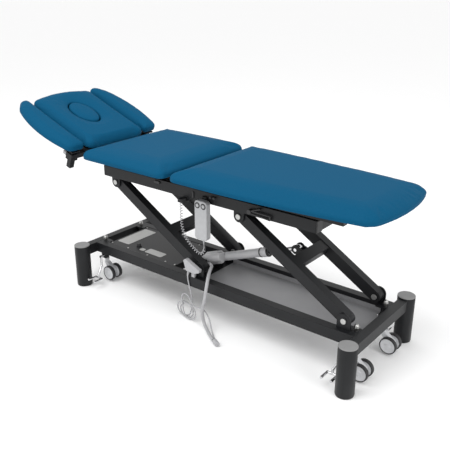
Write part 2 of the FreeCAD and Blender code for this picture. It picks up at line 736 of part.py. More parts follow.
def armrest_pad(side):
    wire = Part.Wire([
        line(V(-20, -198, 0), V(-20, -288, 0)),
        arc(V(-20, -288, 0), V(-215, -322, 0), V(-425, -284, 0)),
        line(V(-425, -284, 0), V(-482, -240, 0)),
        line(V(-482, -240, 0), V(-470, -198, 0)),
        line(V(-470, -198, 0), V(-20, -198, 0)),
    ])
    slab = Part.Face(wire).extrude(V(0, 0, HEAD_THICK))
    slab.translate(V(0, 0, -HEAD_THICK))
    slab = rounded(slab, 40, lambda e: is_upright(e) and e.Vertexes[0].Point.y < -210)
    slab = rounded(slab, 18, lambda e: is_upright(e) and e.Vertexes[0].Point.y > -199)
    slab = rounded(slab, 16, lambda e: lies_at(-HEAD_THICK)(e) or lies_at(0)(e))
    shape = head_place(slab)
    return shape if side < 0 else mirrored(shape)


def armrest_post(side):
    """Square tube under the armrest's board plate, open at its lower end."""
    post = head_block(37, 63, -259, -233, -150, HEAD_BAR_TOP - 4)
    post = post.cut(head_block(39.5, 60.5, -256.5, -235.5, -151, HEAD_BAR_TOP - 8))
    plate = head_block(25, 300, -270, -222, HEAD_BAR_TOP - 4, -HEAD_THICK)
    shape = head_place(joined(post, plate))
    return shape if side < 0 else mirrored(shape)


def head_frame():
    """Two long bars under the pad, the cross bar with the armrests' sleeves, and the hinge lugs."""
    low = HEAD_BAR_TOP - 22
    pieces = [head_block(36, 64, -226, 226, -100, low), head_block(405, 430, -160, 160, low, -HEAD_THICK)]
    for side in (-1, 1):
        pieces.append(head_block(-4, 430, side * 160, side * 185, low, -HEAD_THICK))
        sleeve = head_block(30, 70, side * 226, side * 266, -106, -72)
        sleeve = sleeve.cut(head_block(36.4, 63.6, side * 232.4, side * 259.6, -107, -71))
        pieces.append(sleeve.cut(rod(V(-60, side * 246, -89), V(-75, side * 246, -89), 4 + PIN_PLAY)))
        pieces.append(head_block(8, 30, side * 125, side * 160, low, -HEAD_THICK))
    solids = [head_place(piece) for piece in pieces]
    x = HEAD_HINGE.x
    z = HEAD_HINGE.z
    for side in (-1, 1):
        lug = head_place(head_block(-7, 30, side * 114, side * 125, -HEAD_RISE, -HEAD_THICK))
        lug = joined(lug, pin_y(x, z, side * 114, side * 125, 11))
        solids.append(lug.cut(pin_y(x, z, side * 113, side * 126, 6 + PIN_PLAY)))
    return solids + head_spring_tabs()


def head_spring_eye():
    """Where the head section's gas spring takes hold: below the cross bar, on the middle line."""
    s = 30.0
    n = -140.0
    tilt = math.radians(HEAD_TILT)
    along = s + HEAD_START
    up = n + HEAD_RISE
    return V(HEAD_HINGE.x - along * math.cos(tilt) + up * math.sin(tilt), 0,
             HEAD_HINGE.z + along * math.sin(tilt) + up * math.cos(tilt))


def head_spring_tabs():
    tabs = []
    for side in (-1, 1):
        drop = head_block(20, 42, side * 8, side * 13, -150, -100)
        tabs.append(head_place(joined(drop, head_block(36, 60, side * 8, side * 13, -114, -100))))
    return tabs


def clamp_knob(side):
    """Star knob and its clamping screw, on the head side of the armrest's sleeve."""
    screw = rod(V(-66, -246, -89), V(-78, -246, -89), 4)
    grip = rod(V(-78, -246, -89), V(-98, -246, -89), 15)
    for k in range(6):
        turn = math.radians(60 * k)
        y = -246 + 17 * math.cos(turn)
        z = -89 + 17 * math.sin(turn)
        grip = grip.cut(rod(V(-76, y, z), V(-100, y, z), 4))
    shape = head_place(joined(screw, grip))
    return shape if side < 0 else mirrored(shape)


# ---- cords --------------------------------------------------------------------------------------
MAINS_LEAD = [
    (-110, -171, 242), (-111, -174, 226), (-110, -180, 208), (-106, -180, 184), (-100, -180, 158),
    (-92, -182, 130), (-84, -186, 104), (-78, -190, 80),
]
LEAD_TAIL = [
    (-56, -192, 60), (-38, -192, 78), (-18, -192, 84), (2, -192, 80), (20, -196, 67), (36, -203, 48),
    (52, -213, 28), (72, -229, 12), (94, -246, 4.5), (118, -264, 5), (136, -279, 8),
]
CABLE_SLEEVE = [
    (-110, -62, 236), (-98, -78, 239), (-76, -86, 245), (-50, -88, 251), (-28, -104, 254), (-10, -138, 253),
    (8, -172, 243), (24, -200, 224), (32, -219, 196), (31, -224, 164), (22, -223, 132), (12, -221, 100),
    (5, -215, 68), (1, -206, 38), (12, -208, 12), (40, -226, 8), (72, -250, 8), (104, -270, 8),
    (134, -285, 10),
]
PLUG_BACK = V(132, -284, 11.5)
PLUG_FRONT = V(162, -300, 11.5)


def mains_coil():
    """Outer shape of the looped mains lead that leans on the rail and stands on the floor."""
    def oval(half_length, half_height, y):
        curve = Part.Ellipse(V(0, 0, 0), half_length, half_height)
        face = Part.Face(Part.Wire(curve.toShape()))
        face.rotate(V(0, 0, 0), V(1, 0, 0), 90)
        face.translate(V(-103, y, 45))
        return face
    ring = oval(65, 43, -184).extrude(V(0, -16, 0))
    return ring.cut(oval(45, 24, -183).extrude(V(0, -18, 0)))


def plug():
    """Round plug on the floor, with both leads entering its back."""
    body = rod(PLUG_BACK, PLUG_FRONT, 11)
    return body.makeFillet(2, [e for e in body.Edges if e.Closed])


# ---- write every node ---------------------------------------------------------------------------
os.makedirs("parts", exist_ok=True)

save("base_side_rails", *base_side_rails())
save("base_end_beams", *base_end_beams())
save("corner_posts", *corner_posts())
save("post_caps", *post_caps())
save("post_glides", *post_glides())
save("base_brackets", *(base_lugs() + actuator_yoke() + caster_guides()))
save("base_pivot_bolts", *pivot_bolts([(HEAD_PIVOT_X, LOW_PIVOT_Z), (FOOT_PIVOT_X, LOW_PIVOT_Z)]))
save("tray", *tray())
save("controls_cover", controls_cover())
save("control_box", control_box())
save("cable_box", cable_box())
save("mains_lead", cord_tube("mains lead", [V(*p) for p in MAINS_LEAD], 3.0))
save("mains_coil", mains_coil())
save("lead_tail", cord_tube("lead tail", [V(*p) for p in LEAD_TAIL], 3.0))
save("cable_sleeve", cord_tube("cable sleeve", [V(*p) for p in CABLE_SLEEVE], 7.5))
save("lead_plug", plug())

save("head_lift_arms", *arm(HEAD_PIVOT_X, PIN_PLAY))
save("head_lift_cross_tube", lift_cross_tube(HEAD_PIVOT_X, HEAD_CROSS))
save("foot_lift_arms", *arm(FOOT_PIVOT_X, OPEN_PLAY))
save("foot_lift_cross_tube", lift_cross_tube(FOOT_PIVOT_X, 0.5), *clevis())
save("actuator_housing", actuator_housing())
save("actuator_rod", actuator_rod())

for end, way in ENDS:
    save("caster_pedals_" + end, *caster_pedals(way))
    save("caster_carriage_" + end, *caster_carriage(way))
    for name, side in SIDES:
        save("caster_fork_%s_%s" % (end, name), caster_fork(way, side))
        save("caster_wheels_%s_%s" % (end, name), *caster_wheels(way, side))

save("top_side_rails", *(top_side_rails() + tuple(pad_rests())))
save("top_cross_members", *top_cross_members())
save("top_lugs", *top_lugs())
upper_bolts = pivot_bolts([(HEAD_HIGH_X, HIGH_PIVOT_Z), (FOOT_HIGH_X, HIGH_PIVOT_Z)])
save("top_pivot_pins", *(upper_bolts + section_pins()))
save("mid_pad", mid_pad())
save("handset", handset())
save("up_button", button(BUTTON_X[0]))
save("down_button", button(BUTTON_X[1]))
save("handset_hook", handset_hook(), cord_gland())
save("handset_cord", handset_cord())

save("leg_frame", *leg_frame())
save("leg_pad", leg_pad())
save("leg_spring_cylinder", spring_body(LEG_SPRING_FRAME, LEG_SPRING_LEG, 228, 10))
save("leg_spring_rod", spring_rod(LEG_SPRING_FRAME, LEG_SPRING_LEG, 100))
save("leg_release_lever", leg_release_lever())

save("head_frame", *head_frame())
save("head_pad", head_pad())
save("face_plug", face_plug())
for name, side in SIDES:
    save("armrest_pad_" + name, armrest_pad(side))
    save("armrest_post_" + name, armrest_post(side))
    save("clamp_knob_" + name, clamp_knob(side))
save("head_spring_cylinder", spring_body(HEAD_SPRING_FRAME, head_spring_eye(), 220, 9))
save("head_spring_rod", spring_rod(HEAD_SPRING_FRAME, head_spring_eye(), 110))
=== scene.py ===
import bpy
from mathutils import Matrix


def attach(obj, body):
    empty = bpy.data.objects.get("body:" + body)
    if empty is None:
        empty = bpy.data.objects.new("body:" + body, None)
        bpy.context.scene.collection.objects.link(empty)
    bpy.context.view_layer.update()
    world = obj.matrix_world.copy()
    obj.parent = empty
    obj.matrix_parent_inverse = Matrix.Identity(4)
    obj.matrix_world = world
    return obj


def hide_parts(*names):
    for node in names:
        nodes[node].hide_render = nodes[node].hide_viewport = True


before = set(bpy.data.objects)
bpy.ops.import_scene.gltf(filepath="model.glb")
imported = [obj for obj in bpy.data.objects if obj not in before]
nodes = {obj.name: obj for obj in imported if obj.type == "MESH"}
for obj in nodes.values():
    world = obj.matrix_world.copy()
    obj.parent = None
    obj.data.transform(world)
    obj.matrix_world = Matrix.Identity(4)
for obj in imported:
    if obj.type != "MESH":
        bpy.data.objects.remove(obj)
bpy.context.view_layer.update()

import math

import bmesh
import bpy
import numpy as np
from mathutils import Matrix, Vector
from mathutils.kdtree import KDTree

# ---- Studio ----
# Pale seamless floor, a big soft light above the table's near side, a weaker one from the foot
# end, and white surroundings. The camera stands near the foot end and looks down on the table.
eye = bpy.data.objects.new("camera", bpy.data.cameras.new("camera"))
bpy.context.scene.collection.objects.link(eye)
eye.data.sensor_width = 36.0
eye.data.lens = 53.0
CAMERA_PLACE = (1.710, -2.187, 1.536)
azimuth, elevation = math.radians(38.60), math.radians(21.76)
right = Vector((math.cos(azimuth), math.sin(azimuth), 0))
back = Vector((math.sin(azimuth) * math.cos(elevation), -math.cos(azimuth) * math.cos(elevation),
               math.sin(elevation)))
up = back.cross(right)
eye.matrix_world = Matrix.Translation(CAMERA_PLACE) @ Matrix((right, up, back)).transposed().to_4x4()
eye.data.clip_end = 50.0
bpy.context.scene.camera = eye
bpy.context.scene.view_settings.view_transform = "Standard"


def linear(hex_colour):
    """sRGB hex value to the linear colour that a socket takes."""
    out = []
    for i in (1, 3, 5):
        value = int(hex_colour[i:i + 2], 16) / 255
        out.append(value / 12.92 if value <= 0.04045 else ((value + 0.055) / 1.055) ** 2.4)
    return (*out, 1.0)


def add(tree, kind, links=None, **settings):
    """Adds one node; a value in links is another node's output, or a plain value for the input."""
    made = tree.nodes.new(kind)
    for name, value in settings.items():
        setattr(made, name, value)
    for key, value in (links or {}).items():
        if isinstance(value, bpy.types.NodeSocket):
            tree.links.new(value, made.inputs[key])
        else:
            made.inputs[key].default_value = value
    return made


def finish_of(name, colour, sockets):
    """A new finish: its colour, and the plain values of its shader's own sockets."""
    made = bpy.data.materials.new(name)
    made.use_nodes = True
    shader = made.node_tree.nodes["Principled BSDF"]
    shader.inputs["Base Color"].default_value = linear(colour)
    for key, value in sockets.items():
        shader.inputs[key].default_value = value
    return made, made.node_tree, shader


def mottle(tree, shader, dark, light, size_mm, detail=3.0):
    """Uneven colour between two tones, in patches of about size_mm."""
    place = add(tree, "ShaderNodeTexCoord").outputs["Object"]
    patches = add(tree, "ShaderNodeTexNoise", {"Vector": place, "Scale": 1000 / size_mm, "Detail": detail})
    blend = add(tree, "ShaderNodeMix", {"Factor": patches.outputs["Fac"]}, data_type="RGBA")
    blend.inputs[6].default_value = linear(dark)
    blend.inputs[7].default_value = linear(light)
    tree.links.new(blend.outputs[2], shader.inputs["Base Color"])


def relief(tree, shader, size_mm, height_mm, strength, pattern="ShaderNodeTexNoise"):
    """Fine surface relief: grains of about size_mm, standing height_mm."""
    place = add(tree, "ShaderNodeTexCoord").outputs["Object"]
    grains = add(tree, pattern, {"Vector": place, "Scale": 1000 / size_mm})
    bump = add(tree, "ShaderNodeBump", {"Height": grains.outputs[0], "Strength": strength,
                                        "Distance": height_mm / 1000})
    tree.links.new(bump.outputs["Normal"], shader.inputs["Normal"])


def mesh_piece(name, material, bm, smooth_angle=35.0):
    """Turns built geometry into a piece with one finish, its faces outward."""
    bmesh.ops.recalc_face_normals(bm, faces=bm.faces)
    mesh = bpy.data.meshes.new(name)
    bm.to_mesh(mesh)
    bm.free()
    mesh.materials.append(material)
    mesh.polygons.foreach_set("use_smooth", [True] * len(mesh.polygons))
    mesh.set_sharp_from_angle(angle=math.radians(smooth_angle))
    made = bpy.data.objects.new(name, mesh)
    bpy.context.scene.collection.objects.link(made)
    return made


paper, tree, shader = finish_of("seamless_paper", "#FAFAFA", {"Roughness": 0.9, "Specular IOR Level": 0.1})
relief(tree, shader, 3.0, 0.05, 0.1)
floor_mesh = bmesh.new()
bmesh.ops.create_grid(floor_mesh, x_segments=4, y_segments=4, size=30.0)
bmesh.ops.translate(floor_mesh, verts=floor_mesh.verts, vec=(0, 0, -0.002))
floor = mesh_piece("floor", paper, floor_mesh)

world = bpy.data.worlds.new("white_room")
bpy.context.scene.world = world
world.use_nodes = True
world.node_tree.nodes["Background"].inputs["Color"].default_value = (1, 1, 1, 1)
world.node_tree.nodes["Background"].inputs["Strength"].default_value = 1.0
for name, place, aim, size, power in (
        ("softbox_above", (-0.6, -1.6, 3.4), (0, 0, 0.5), 2.6, 75.0),
        ("softbox_foot", (3.2, -0.6, 1.8), (0.3, 0, 0.4), 1.6, 22.0)):
    lamp = bpy.data.objects.new(name, bpy.data.lights.new(name, "AREA"))
    bpy.context.scene.collection.objects.link(lamp)
    lamp.data.size = size
    lamp.data.energy = power
    lamp.location = place
    lamp.rotation_mode = "QUATERNION"
    lamp.rotation_quaternion = (Vector(aim) - Vector(place)).to_track_quat("-Z", "Y")

# ---- Mains lead, loom sleeve and plug ----
# Grey PVC-jacketed mains lead from the inlet housing, with its spare length in loops, and the thick
# loom sleeve beside it. Both run down to the floor and into one round grey plug.
grey_jacket, tree, shader = finish_of("pvc_cable_jacket", "#A2A2A4", {"Roughness": 0.42, "IOR": 1.53})
mottle(tree, shader, "#98989B", "#ADADAF", 9.0)
relief(tree, shader, 0.9, 0.03, 0.15)


def cord_curve(name, material, points, diameter):
    """A cord along its route's points, as one smooth curve with a round section."""
    data = bpy.data.curves.new(name, "CURVE")
    data.dimensions = "3D"
    spline = data.splines.new("NURBS")
    spline.points.add(len(points) - 1)
    for target, point in zip(spline.points, points):
        target.co = (*point, 1.0)
    spline.order_u = 3
    spline.use_endpoint_u = True
    spline.resolution_u = 6
    data.bevel_depth = diameter / 2
    data.bevel_resolution = 4
    data.use_fill_caps = True
    data.materials.append(material)
    made = bpy.data.objects.new(name, data)
    bpy.context.scene.collection.objects.link(made)
    return made


def route_length(curve_object):
    """Length of a cord's centreline, from the curve itself without its thickness."""
    depth, curve_object.data.bevel_depth = curve_object.data.bevel_depth, 0.0
    line = curve_object.to_mesh()
    points = [v.co.copy() for v in line.vertices]
    curve_object.to_mesh_clear()
    curve_object.data.bevel_depth = depth
    return sum((b - a).length for a, b in zip(points, points[1:])), points


LEAD_DIAMETER = 0.006
lead_route = [
    (-0.110, -0.171, 0.242), (-0.111, -0.174, 0.226), (-0.110, -0.180, 0.208), (-0.106, -0.180, 0.184),
    (-0.100, -0.180, 0.158), (-0.091, -0.181, 0.131), (-0.082, -0.183, 0.103), (-0.079, -0.185, 0.072),
]
LOOP_STEPS = 35
STEPS_PER_LOOP = 14
LOOP_START_ANGLE = 0.25
LOOP_HALF_LENGTH, LOOP_NARROWING = 0.046, 0.006
LOOP_HALF_HEIGHT, LOOP_MIDDLE_Z = 0.038, 0.043
LOOP_FIRST_X, LOOP_SHIFT_X = -0.132, 0.052
LOOP_FIRST_Y, LOOP_SHIFT_Y = -0.187, 0.015
for step in range(LOOP_STEPS):
    turn = 2 * math.pi * (step + 1) / STEPS_PER_LOOP - LOOP_START_ANGLE
    share = step / (LOOP_STEPS - 1)
    wide = LOOP_HALF_LENGTH - LOOP_NARROWING * share
    middle_x = LOOP_FIRST_X + LOOP_SHIFT_X * share
    lead_route.append((middle_x + wide * math.cos(turn), LOOP_FIRST_Y - LOOP_SHIFT_Y * share,
                       LOOP_MIDDLE_Z - LOOP_HALF_HEIGHT * math.sin(turn)))
lead_route += [
    (-0.122, -0.203, 0.060), (-0.126, -0.203, 0.084), (-0.128, -0.203, 0.106), (-0.119, -0.203, 0.125),
    (-0.101, -0.203, 0.131), (-0.084, -0.203, 0.122), (-0.074, -0.203, 0.105), (-0.064, -0.203, 0.092),
    (-0.052, -0.203, 0.083),
    (-0.038, -0.202, 0.080), (-0.018, -0.200, 0.084), (0.002, -0.199, 0.080), (0.020, -0.200, 0.067),
    (0.036, -0.203, 0.048), (0.052, -0.213, 0.028), (0.072, -0.229, 0.012), (0.094, -0.246, 0.0045),
    (0.118, -0.264, 0.005), (0.136, -0.279, 0.008),
]
lead = cord_curve("mains_lead_looped", grey_jacket, lead_route, LEAD_DIAMETER)
lead_length, _ = route_length(lead)
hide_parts("mains_lead", "mains_coil", "lead_tail")
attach(lead, "base")

SLEEVE_DIAMETER = 0.015
sleeve_route = [
    (-0.110, -0.062, 0.236), (-0.098, -0.078, 0.239), (-0.076, -0.086, 0.245), (-0.050, -0.088, 0.251),
    (-0.028, -0.104, 0.254), (-0.010, -0.138, 0.253), (0.008, -0.172, 0.243), (0.024, -0.200, 0.224),
    (0.032, -0.219, 0.196), (0.031, -0.224, 0.164), (0.022, -0.223, 0.132), (0.012, -0.221, 0.100),
    (0.005, -0.215, 0.068), (0.001, -0.206, 0.038), (0.012, -0.208, 0.012), (0.040, -0.226, 0.008),
    (0.072, -0.250, 0.008), (0.104, -0.270, 0.008), (0.134, -0.285, 0.010),
]
sleeve = cord_curve("loom_sleeve", grey_jacket, sleeve_route, SLEEVE_DIAMETER)
sleeve_length, _ = route_length(sleeve)
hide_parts("cable_sleeve")
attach(sleeve, "base")

black_abs, tree, shader = finish_of("moulded_black_abs", "#1B1B1D", {"Roughness": 0.5, "IOR": 1.53})
mottle(tree, shader, "#161618", "#232325", 14.0)
relief(tree, shader, 0.7, 0.04, 0.25)


def dress(name, material, round_mm=0.8):
    """A frame part keeps its shape and gets its finish, with every hard edge broken slightly."""
    piece = nodes[name]
    piece.data.materials.clear()
    piece.data.materials.append(material)
    weld = piece.modifiers.new("join_faces", "WELD")
    weld.merge_threshold = 0.00001
    flat = piece.modifiers.new("flat_faces", "DECIMATE")
    flat.decimate_type = "DISSOLVE"
    flat.angle_limit = math.radians(1.0)
    broken = piece.modifiers.new("broken_edges", "BEVEL")
    broken.width = round_mm / 1000
    broken.segments = 2
    broken.limit_method = "ANGLE"
    broken.angle_limit = math.radians(40)
    broken.harden_normals = True
    return piece


plug_body = dress("lead_plug", grey_jacket, 0.8)


def turned_piece(bm, centre, axis, profile, segments=48):
    """Adds a closed turned shape to bm: profile is (distance along axis, radius) from end to end."""
    axis = Vector(axis).normalized()
    across = axis.orthogonal().normalized()
    beside = axis.cross(across)
    rings = []
    for along, radius in profile:
        if radius < 1e-6:
            rings.append([bm.verts.new(Vector(centre) + axis * along)])
            continue
        ring = []
        for k in range(segments):
            t = 2 * math.pi * k / segments
            outward = across * math.cos(t) + beside * math.sin(t)
            ring.append(bm.verts.new(Vector(centre) + axis * along + radius * outward))
        rings.append(ring)
    for a, b in zip(rings, rings[1:]):
        for k in range(segments):
            n = (k + 1) % segments
            corners = [a[k % len(a)], a[n % len(a)], b[n % len(b)], b[k % len(b)]]
            unique = list(dict.fromkeys(corners))
            if len(unique) > 2:
                bm.faces.new(unique)


relief_bm = bmesh.new()
turned_piece(relief_bm, (-0.1102, -0.1712, 0.236), (-0.03, -0.24, -1.0),
             [(0, 0), (0, 0.0058), (0.008, 0.0056), (0.009, 0.0047), (0.011, 0.0047), (0.012, 0.0053),
              (0.015, 0.0051), (0.016, 0.0043), (0.018, 0.0043), (0.019, 0.0048), (0.022, 0.0046),
              (0.023, 0.0038), (0.028, 0.0035), (0.028, 0)], 28)
lead_relief = mesh_piece("lead_strain_relief", grey_jacket, relief_bm)
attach(lead_relief, "base")
ferrule_bm = bmesh.new()
ferrule_end = Vector(sleeve_route[-1])
ferrule_way = (ferrule_end - Vector(sleeve_route[-2])).normalized()
turned_piece(ferrule_bm, ferrule_end - ferrule_way * 0.010, ferrule_way,
             [(0, 0.0076), (0, 0.0086), (0.001, 0.0092), (0.011, 0.0092), (0.012, 0.0086), (0.012, 0.0076),
              (0, 0.0076)], 32)
ferrule = mesh_piece("loom_ferrule", black_abs, ferrule_bm)
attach(ferrule, "base")

# ---- Curly handset cord ----
# Thin grey cord moulded into a close helix. It leaves the handset downwards, hangs in a bight and
# climbs to the gland below the near rail.
CURLY_DIAMETER = 0.0030
CURL_RADIUS = 0.0055
CURL_PITCH = 0.0125
STEPS_PER_CURL = 14
STRAIGHT_LEAD = 0.040
STRAIGHT_STEP = 0.008
CURL_GROWTH = 0.010
curl_route = [
    (0.003, -0.196, 0.422), (0.004, -0.196, 0.402), (0.005, -0.196, 0.384), (0.004, -0.196, 0.366),
    (-0.008, -0.196, 0.352), (-0.028, -0.196, 0.350), (-0.045, -0.196, 0.360), (-0.066, -0.196, 0.374),
    (-0.088, -0.196, 0.392), (-0.105, -0.196, 0.414), (-0.117, -0.196, 0.442), (-0.123, -0.196, 0.474),
    (-0.122, -0.196, 0.508), (-0.123, -0.196, 0.540), (-0.122, -0.196, 0.566),
]
guide = cord_curve("curl_guide", grey_jacket, curl_route, 0.001)
_, guide_points = route_length(guide)
bpy.data.objects.remove(guide)
curly_points = []
travelled = 0.0
spacing = CURL_PITCH / STEPS_PER_CURL
carried = 0.0
for start, end in zip(guide_points, guide_points[1:]):
    run = (end - start).length
    if run < 1e-7:
        continue
    along = (end - start) / run
    side = along.cross(Vector((0, 1, 0))).normalized()
    while carried <= run:
        distance = travelled + carried
        grown = min(1.0, max(0.0, (distance - STRAIGHT_LEAD) / CURL_GROWTH))
        turn = 2 * math.pi * max(0.0, distance - STRAIGHT_LEAD) / CURL_PITCH
        offset = (side * math.cos(turn) + Vector((0, 1, 0)) * math.sin(turn)) * CURL_RADIUS * grown
        curly_points.append(start + along * carried + offset)
        carried += spacing if distance > STRAIGHT_LEAD else STRAIGHT_STEP
    carried -= run
    travelled += run
curly = cord_curve("curly_cord", grey_jacket, curly_points, CURLY_DIAMETER)
curly.data.splines[0].resolution_u = 2
curly.data.bevel_resolution = 2
curly_length, _ = route_length(curly)
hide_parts("handset_cord")
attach(curly, "top_frame")

# ---- Base frame ----
# Rectangular and round steel tube, welded, with a charcoal powder coat: a fine orange-peel skin
# that shows soft broad highlights. Grey moulded caps close the posts; rubber glides stand on the floor.
powder_coat, tree, shader = finish_of("charcoal_powder_coat", "#17181A", {
    "Roughness": 0.42, "IOR": 1.5, "Specular IOR Level": 0.25})
mottle(tree, shader, "#141517", "#1B1C1E", 60.0)
relief(tree, shader, 1.6, 0.05, 0.22)
for name in ("base_side_rails", "base_end_beams"):
    dress(name, powder_coat, 2.0)
dress("corner_posts", powder_coat, 0.6)
dress("base_brackets", powder_coat, 0.8)

cap_plastic, tree, shader = finish_of("moulded_grey_polyethylene", "#808081", {"Roughness": 0.55, "IOR": 1.5})
mottle(tree, shader, "#797979", "#888888", 25.0)
relief(tree, shader, 0.8, 0.03, 0.2)
dress("post_caps", cap_plastic, 0.5)

rubber, tree, shader = finish_of("black_glide_rubber", "#151515", {"Roughness": 0.8, "IOR": 1.5})
mottle(tree, shader, "#121212", "#1D1D1D", 8.0)
relief(tree, shader, 1.0, 0.06, 0.4)
dress("post_glides", rubber, 1.0)

zinc, tree, shader = finish_of("zinc_plated_steel", "#B4B4B2", {"Metallic": 1.0, "Roughness": 0.34})
mottle(tree, shader, "#A2A2A0", "#C4C4C2", 4.0)
relief(tree, shader, 0.6, 0.02, 0.2)
dress("base_pivot_bolts", zinc, 1.2)

# ---- Tray and controls cover ----
# Folded sheet between the rails: a plain grey tray at the foot end, and the darker lid over the
# control box, with blank rating plates, pan-head screws and a round connector.
tray_paint, tree, shader = finish_of("grey_sheet_paint", "#8E8E90", {"Roughness": 0.5, "IOR": 1.5})
mottle(tree, shader, "#88888A", "#949496", 90.0)
relief(tree, shader, 1.4, 0.04, 0.2)
dress("tray", tray_paint, 0.4)
lid_paint, tree, shader = finish_of("dark_sheet_paint", "#303031", {
    "Roughness": 0.5, "IOR": 1.5, "Specular IOR Level": 0.3})
mottle(tree, shader, "#2C2C2D", "#363637", 80.0)
relief(tree, shader, 1.4, 0.04, 0.2)
dress("controls_cover", lid_paint, 0.4)
dress("control_box", black_abs, 1.0)
dress("cable_box", grey_jacket, 1.5)

label_film, tree, shader = finish_of("blank_polyester_label", "#A9A9A7", {"Roughness": 0.35, "IOR": 1.5})
mottle(tree, shader, "#A3A3A1", "#AFAFAD", 20.0)
LID_TOP = 0.205
LABEL_CORNER = 0.008
LABEL_THICKNESS = 0.0007
labels = bmesh.new()
for x0, x1, y0, y1 in (
        (-0.664, -0.585, -0.092, 0.108),
        (-0.460, -0.350, -0.106, -0.060),
        (-0.500, -0.470, -0.104, -0.080)):
    outline = []
    for cx, cy, begin in (
            (x1 - LABEL_CORNER, y1 - LABEL_CORNER, 0),
            (x0 + LABEL_CORNER, y1 - LABEL_CORNER, 90),
            (x0 + LABEL_CORNER, y0 + LABEL_CORNER, 180),
            (x1 - LABEL_CORNER, y0 + LABEL_CORNER, 270)):
        for k in range(5):
            a = math.radians(begin + 22.5 * k)
            outline.append(labels.verts.new((
                cx + LABEL_CORNER * math.cos(a), cy + LABEL_CORNER * math.sin(a), LID_TOP)))
    face = labels.faces.new(outline)
    lifted = bmesh.ops.extrude_face_region(labels, geom=[face])
    top = [v for v in lifted["geom"] if isinstance(v, bmesh.types.BMVert)]
    bmesh.ops.translate(labels, verts=top, vec=(0, 0, LABEL_THICKNESS))
label_plates = mesh_piece("rating_plates", label_film, labels)
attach(label_plates, "base")


def planted(name, body, material, points, template, turn=0.0):
    """Geometry Nodes: one small template repeated at every point, as a single plain mesh."""
    seeds = bpy.data.meshes.new(name + "_points")
    seeds.from_pydata([tuple(p) for p in points], [], [])
    holder = bpy.data.objects.new(name, seeds)
    bpy.context.scene.collection.objects.link(holder)
    group = bpy.data.node_groups.new(name + "_tree", "GeometryNodeTree")
    group.interface.new_socket("Geometry", in_out="INPUT", socket_type="NodeSocketGeometry")
    size_socket = group.interface.new_socket("Size", in_out="INPUT", socket_type="NodeSocketFloat")
    turn_socket = group.interface.new_socket("Turn", in_out="INPUT", socket_type="NodeSocketFloat")
    group.interface.new_socket("Geometry", in_out="OUTPUT", socket_type="NodeSocketGeometry")
    inlet = add(group, "NodeGroupInput")
    shape = add(group, "GeometryNodeObjectInfo", {"Object": template}, transform_space="ORIGINAL")
    angle = add(group, "ShaderNodeCombineXYZ", {"Z": inlet.outputs["Turn"]})
    placed = add(group, "GeometryNodeInstanceOnPoints", {"Points": inlet.outputs["Geometry"],
                 "Instance": shape.outputs["Geometry"], "Rotation": angle.outputs[0],
                 "Scale": inlet.outputs["Size"]})
    real = add(group, "GeometryNodeRealizeInstances", {"Geometry": placed.outputs["Instances"]})
    painted = add(group, "GeometryNodeSetMaterial", {"Geometry": real.outputs["Geometry"],
                                                     "Material": material})
    add(group, "NodeGroupOutput", {"Geometry": painted.outputs["Geometry"]})
    repeat = holder.modifiers.new("repeat", "NODES")
    repeat.node_group = group
    repeat[size_socket.identifier] = 1.0
    repeat[turn_socket.identifier] = turn
    bpy.context.view_layer.update()
    result = bpy.data.meshes.new_from_object(holder.evaluated_get(bpy.context.evaluated_depsgraph_get()))
    holder.modifiers.clear()
    holder.data = result
    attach(holder, body)


screw = bmesh.new()
turned_piece(screw, (0, 0, 0), (0, 0, 1), [
    (0, 0), (0, 0.0042), (0.0012, 0.0042), (0.0022, 0.0032), (0.0024, 0.0016), (0.0014, 0.0013),
    (0.0014, 0)], 20)
screw_shape = mesh_piece("lid_screw", zinc, screw)
screw_places = [(x, y, LID_TOP) for x in (-0.668, -0.555, -0.420, -0.300, -0.240) for y in (-0.124, 0.124)]
planted("lid_screws", "base", zinc, screw_places, screw_shape)
bpy.data.objects.remove(screw_shape)

connector = bmesh.new()
turned_piece(connector, (-0.526, -0.076, LID_TOP), (0, 0, 1), [
    (0, 0), (0, 0.013), (0.006, 0.013), (0.007, 0.011), (0.015, 0.0105), (0.017, 0.009), (0.017, 0)], 32)
round_connector = mesh_piece("round_connector", black_abs, connector)
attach(round_connector, "base")

# ---- Lift arms and actuator ----
# Two sets of rectangular tube arms with a cross tube each, painted like the base. The actuator is
# a tube in silver-grey enamel on its gear housing, with a bright steel rod.
for name in ("head_lift_arms", "head_lift_cross_tube", "foot_lift_arms", "foot_lift_cross_tube"):
    dress(name, powder_coat, 2.0)
silver_enamel, tree, shader = finish_of("silver_grey_enamel", "#B2B2B4", {"Roughness": 0.34, "IOR": 1.52})
mottle(tree, shader, "#AAAAAC", "#BABABC", 30.0)
relief(tree, shader, 0.8, 0.02, 0.2)
dress("actuator_housing", silver_enamel, 1.0)
bright_steel, tree, shader = finish_of("chrome_plated_steel", "#CFCFD0", {"Metallic": 1.0, "Roughness": 0.16})
mottle(tree, shader, "#C2C2C4", "#DADADB", 12.0)
relief(tree, shader, 2.5, 0.02, 0.05)
dress("actuator_rod", bright_steel, 0.6)
ACTUATOR_REAR = Vector((-0.165, 0, 0.213))
ACTUATOR_WAY = (Vector((0.358, 0, 0.412)) - ACTUATOR_REAR).normalized()
seals = bmesh.new()
for place, reach in ((0.116, 0.0205), (0.360, 0.0208), (0.4005, 0.0222)):
    turned_piece(seals, ACTUATOR_REAR + ACTUATOR_WAY * place, ACTUATOR_WAY,
                 [(-0.003, 0.0125), (-0.003, reach), (-0.002, reach + 0.0012), (0.002, reach + 0.0012),
                  (0.003, reach), (0.003, 0.0125), (-0.003, 0.0125)], 40)
actuator_seals = mesh_piece("actuator_seals", black_abs, seals)
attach(actuator_seals, "actuator_housing")

